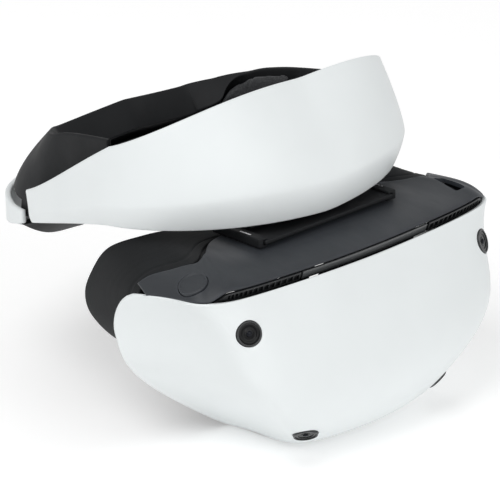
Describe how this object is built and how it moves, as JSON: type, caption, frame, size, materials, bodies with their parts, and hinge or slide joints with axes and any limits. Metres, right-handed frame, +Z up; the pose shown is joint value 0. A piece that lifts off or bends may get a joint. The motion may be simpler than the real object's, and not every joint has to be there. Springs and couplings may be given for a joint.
{
  "type": "virtual reality headset",
  "caption": "Virtual reality headset: a curved white front unit with tracking cameras and a soft light shield, hung under a halo headband with a rear tightening dial.",
  "frame": {"origin": "middle of the headset's bounding box in X and Y, at the height of the flat rest face under the front unit", "axes": "+Z up, the wearer looks along -Y, so the lenses open towards +Y; -X is the wearer's right"},
  "size_m": [0.2096, 0.2426, 0.1713],
  "materials": {
    "white_shell": "fine matt",
    "dark_plastic": "matt",
    "gloss_black": "polished",
    "soft_rubber": "soft matt",
    "pad_skin": "satin skin over foam",
    "steel": "satin",
    "alloy": "satin",
    "circuit_board": "solder mask",
    "lens": "clear, coated",
    "screen": "polished",
    "grey_plastic": "matt"
  },
  "bodies": {
    "headband": {"band_shell": "white_shell", "band_liner": "dark_plastic", "forehead_pad": "pad_skin", "arm_guide_right": "grey_plastic", "arm_guide_left": "grey_plastic", "scope_bracket": "dark_plastic", "vibration_motor": "steel", "cable_gland": "soft_rubber"},
    "scope": {"front_shell": "white_shell", "top_cover": "dark_plastic", "trim_strip": "gloss_black", "vent_grille_right": "dark_plastic", "vent_grille_left": "dark_plastic", "bottom_cover": "dark_plastic", "light_shield": "soft_rubber", "face_frame": "dark_plastic", "chassis": "alloy", "main_board": "circuit_board", "heat_sink": "alloy", "fan_housing": "grey_plastic", "guide_rod": "steel", "proximity_sensor": "gloss_black", "microphone": "steel", "slide_rail_right": "dark_plastic", "slide_rail_left": "dark_plastic", "chassis_screw_right": "steel", "chassis_screw_left": "steel", "chassis_screw_low": "steel", "camera_upper_right": "dark_plastic", "camera_upper_left": "dark_plastic", "camera_lower_right": "dark_plastic", "camera_lower_left": "dark_plastic", "camera_upper_right_window": "gloss_black", "camera_upper_left_window": "gloss_black", "camera_lower_right_window": "gloss_black", "camera_lower_left_window": "gloss_black"},
    "ipd_drive": {"ipd_dial": "dark_plastic", "ipd_screw": "steel"},
    "eye_right": {"display_right": "screen", "lens_barrel_right": "dark_plastic", "lens_right": "lens", "ir_ring_right": "gloss_black"},
    "eye_left": {"display_left": "screen", "lens_barrel_left": "dark_plastic", "lens_left": "lens", "ir_ring_left": "gloss_black"},
    "fan": {"fan_rotor": "dark_plastic"},
    "scope_key": {"scope_button": "dark_plastic"},
    "power_key": {"power_button": "grey_plastic"},
    "function_key": {"function_button": "grey_plastic"},
    "motor_shaft": {"motor_weight": "steel"},
    "rear_unit": {"rear_housing": "dark_plastic", "rear_pad": "pad_skin", "rear_cover": "white_shell", "audio_jack": "steel"},
    "dial": {"adjust_dial": "white_shell", "adjust_pinion": "grey_plastic"},
    "release_key": {"release_button": "grey_plastic"},
    "rack_right_body": {"rack_right": "steel"},
    "rack_left_body": {"rack_left": "steel"}
  },
  "joints": [
    {"name": "scope_slide", "type": "slide", "parent": "headband", "child": "scope", "axis": [0, -1, 0], "range_m": [0, 0.025]},
    {"name": "ipd_turn", "type": "hinge", "parent": "scope", "child": "ipd_drive", "pos_m": [0.08, -0.0777, 0.0898], "axis": [1, 0, 0], "range_deg": [-250, 250]},
    {"name": "eye_right_slide", "type": "slide", "parent": "scope", "child": "eye_right", "axis": [1, 0, 0], "range_m": [-0.0034, 0.0034]},
    {"name": "eye_left_slide", "type": "slide", "parent": "scope", "child": "eye_left", "axis": [1, 0, 0], "range_m": [-0.0034, 0.0034]},
    {"name": "fan_spin", "type": "hinge", "parent": "scope", "child": "fan", "pos_m": [0, -0.1065, 0.0542], "axis": [0, 1, 0], "continuous": true},
    {"name": "scope_key_press", "type": "slide", "parent": "scope", "child": "scope_key", "axis": [0.4072, 0.0617, -0.9112], "range_m": [0, 0.0012], "stiffness_N_per_m": 400, "springref_m": -0.0005},
    {"name": "power_key_press", "type": "slide", "parent": "scope", "child": "power_key", "axis": [0, 0, 1], "range_m": [0, 0.0007], "stiffness_N_per_m": 400, "springref_m": -0.0005},
    {"name": "function_key_press", "type": "slide", "parent": "scope", "child": "function_key", "axis": [0, 0, 1], "range_m": [0, 0.0007], "stiffness_N_per_m": 400, "springref_m": -0.0005},
    {"name": "motor_spin", "type": "hinge", "parent": "headband", "child": "motor_shaft", "pos_m": [0.042, -0.0557, 0.114], "axis": [1, 0, 0], "continuous": true},
    {"name": "rear_slide", "type": "slide", "parent": "headband", "child": "rear_unit", "axis": [0, 0.9511, -0.309], "range_m": [0, 0.0299]},
    {"name": "dial_turn", "type": "hinge", "parent": "rear_unit", "child": "dial", "pos_m": [0, 0.1121, 0.0822], "axis": [0, -1, 0], "range_deg": [0, 286]},
    {"name": "release_press", "type": "slide", "parent": "rear_unit", "child": "release_key", "axis": [0, -1, 0], "range_m": [0, 0.0025], "stiffness_N_per_m": 400, "springref_m": -0.0005},
    {"name": "rack_right_travel", "type": "hinge", "parent": "rear_unit", "child": "rack_right_body", "pos_m": [0, 0.0333, 0.0752], "axis": [0, 0, 1], "range_deg": [0, 24.6]},
    {"name": "rack_left_travel", "type": "hinge", "parent": "rear_unit", "child": "rack_left_body", "pos_m": [0, 0.0333, 0.0892], "axis": [0, 0, 1], "range_deg": [-24.6, 0]}
  ],
  "couplings": [
    {"joint": "ipd_turn", "follows": "eye_right_slide", "rad_per_m": -1250},
    {"joint": "eye_left_slide", "follows": "eye_right_slide", "ratio": -1},
    {"joint": "dial_turn", "follows": "rear_slide", "rad_per_m": 166.67},
    {"joint": "rack_right_travel", "follows": "rear_slide", "rad_per_m": 14.285},
    {"joint": "rack_left_travel", "follows": "rear_slide", "rad_per_m": -14.285}
  ]
}
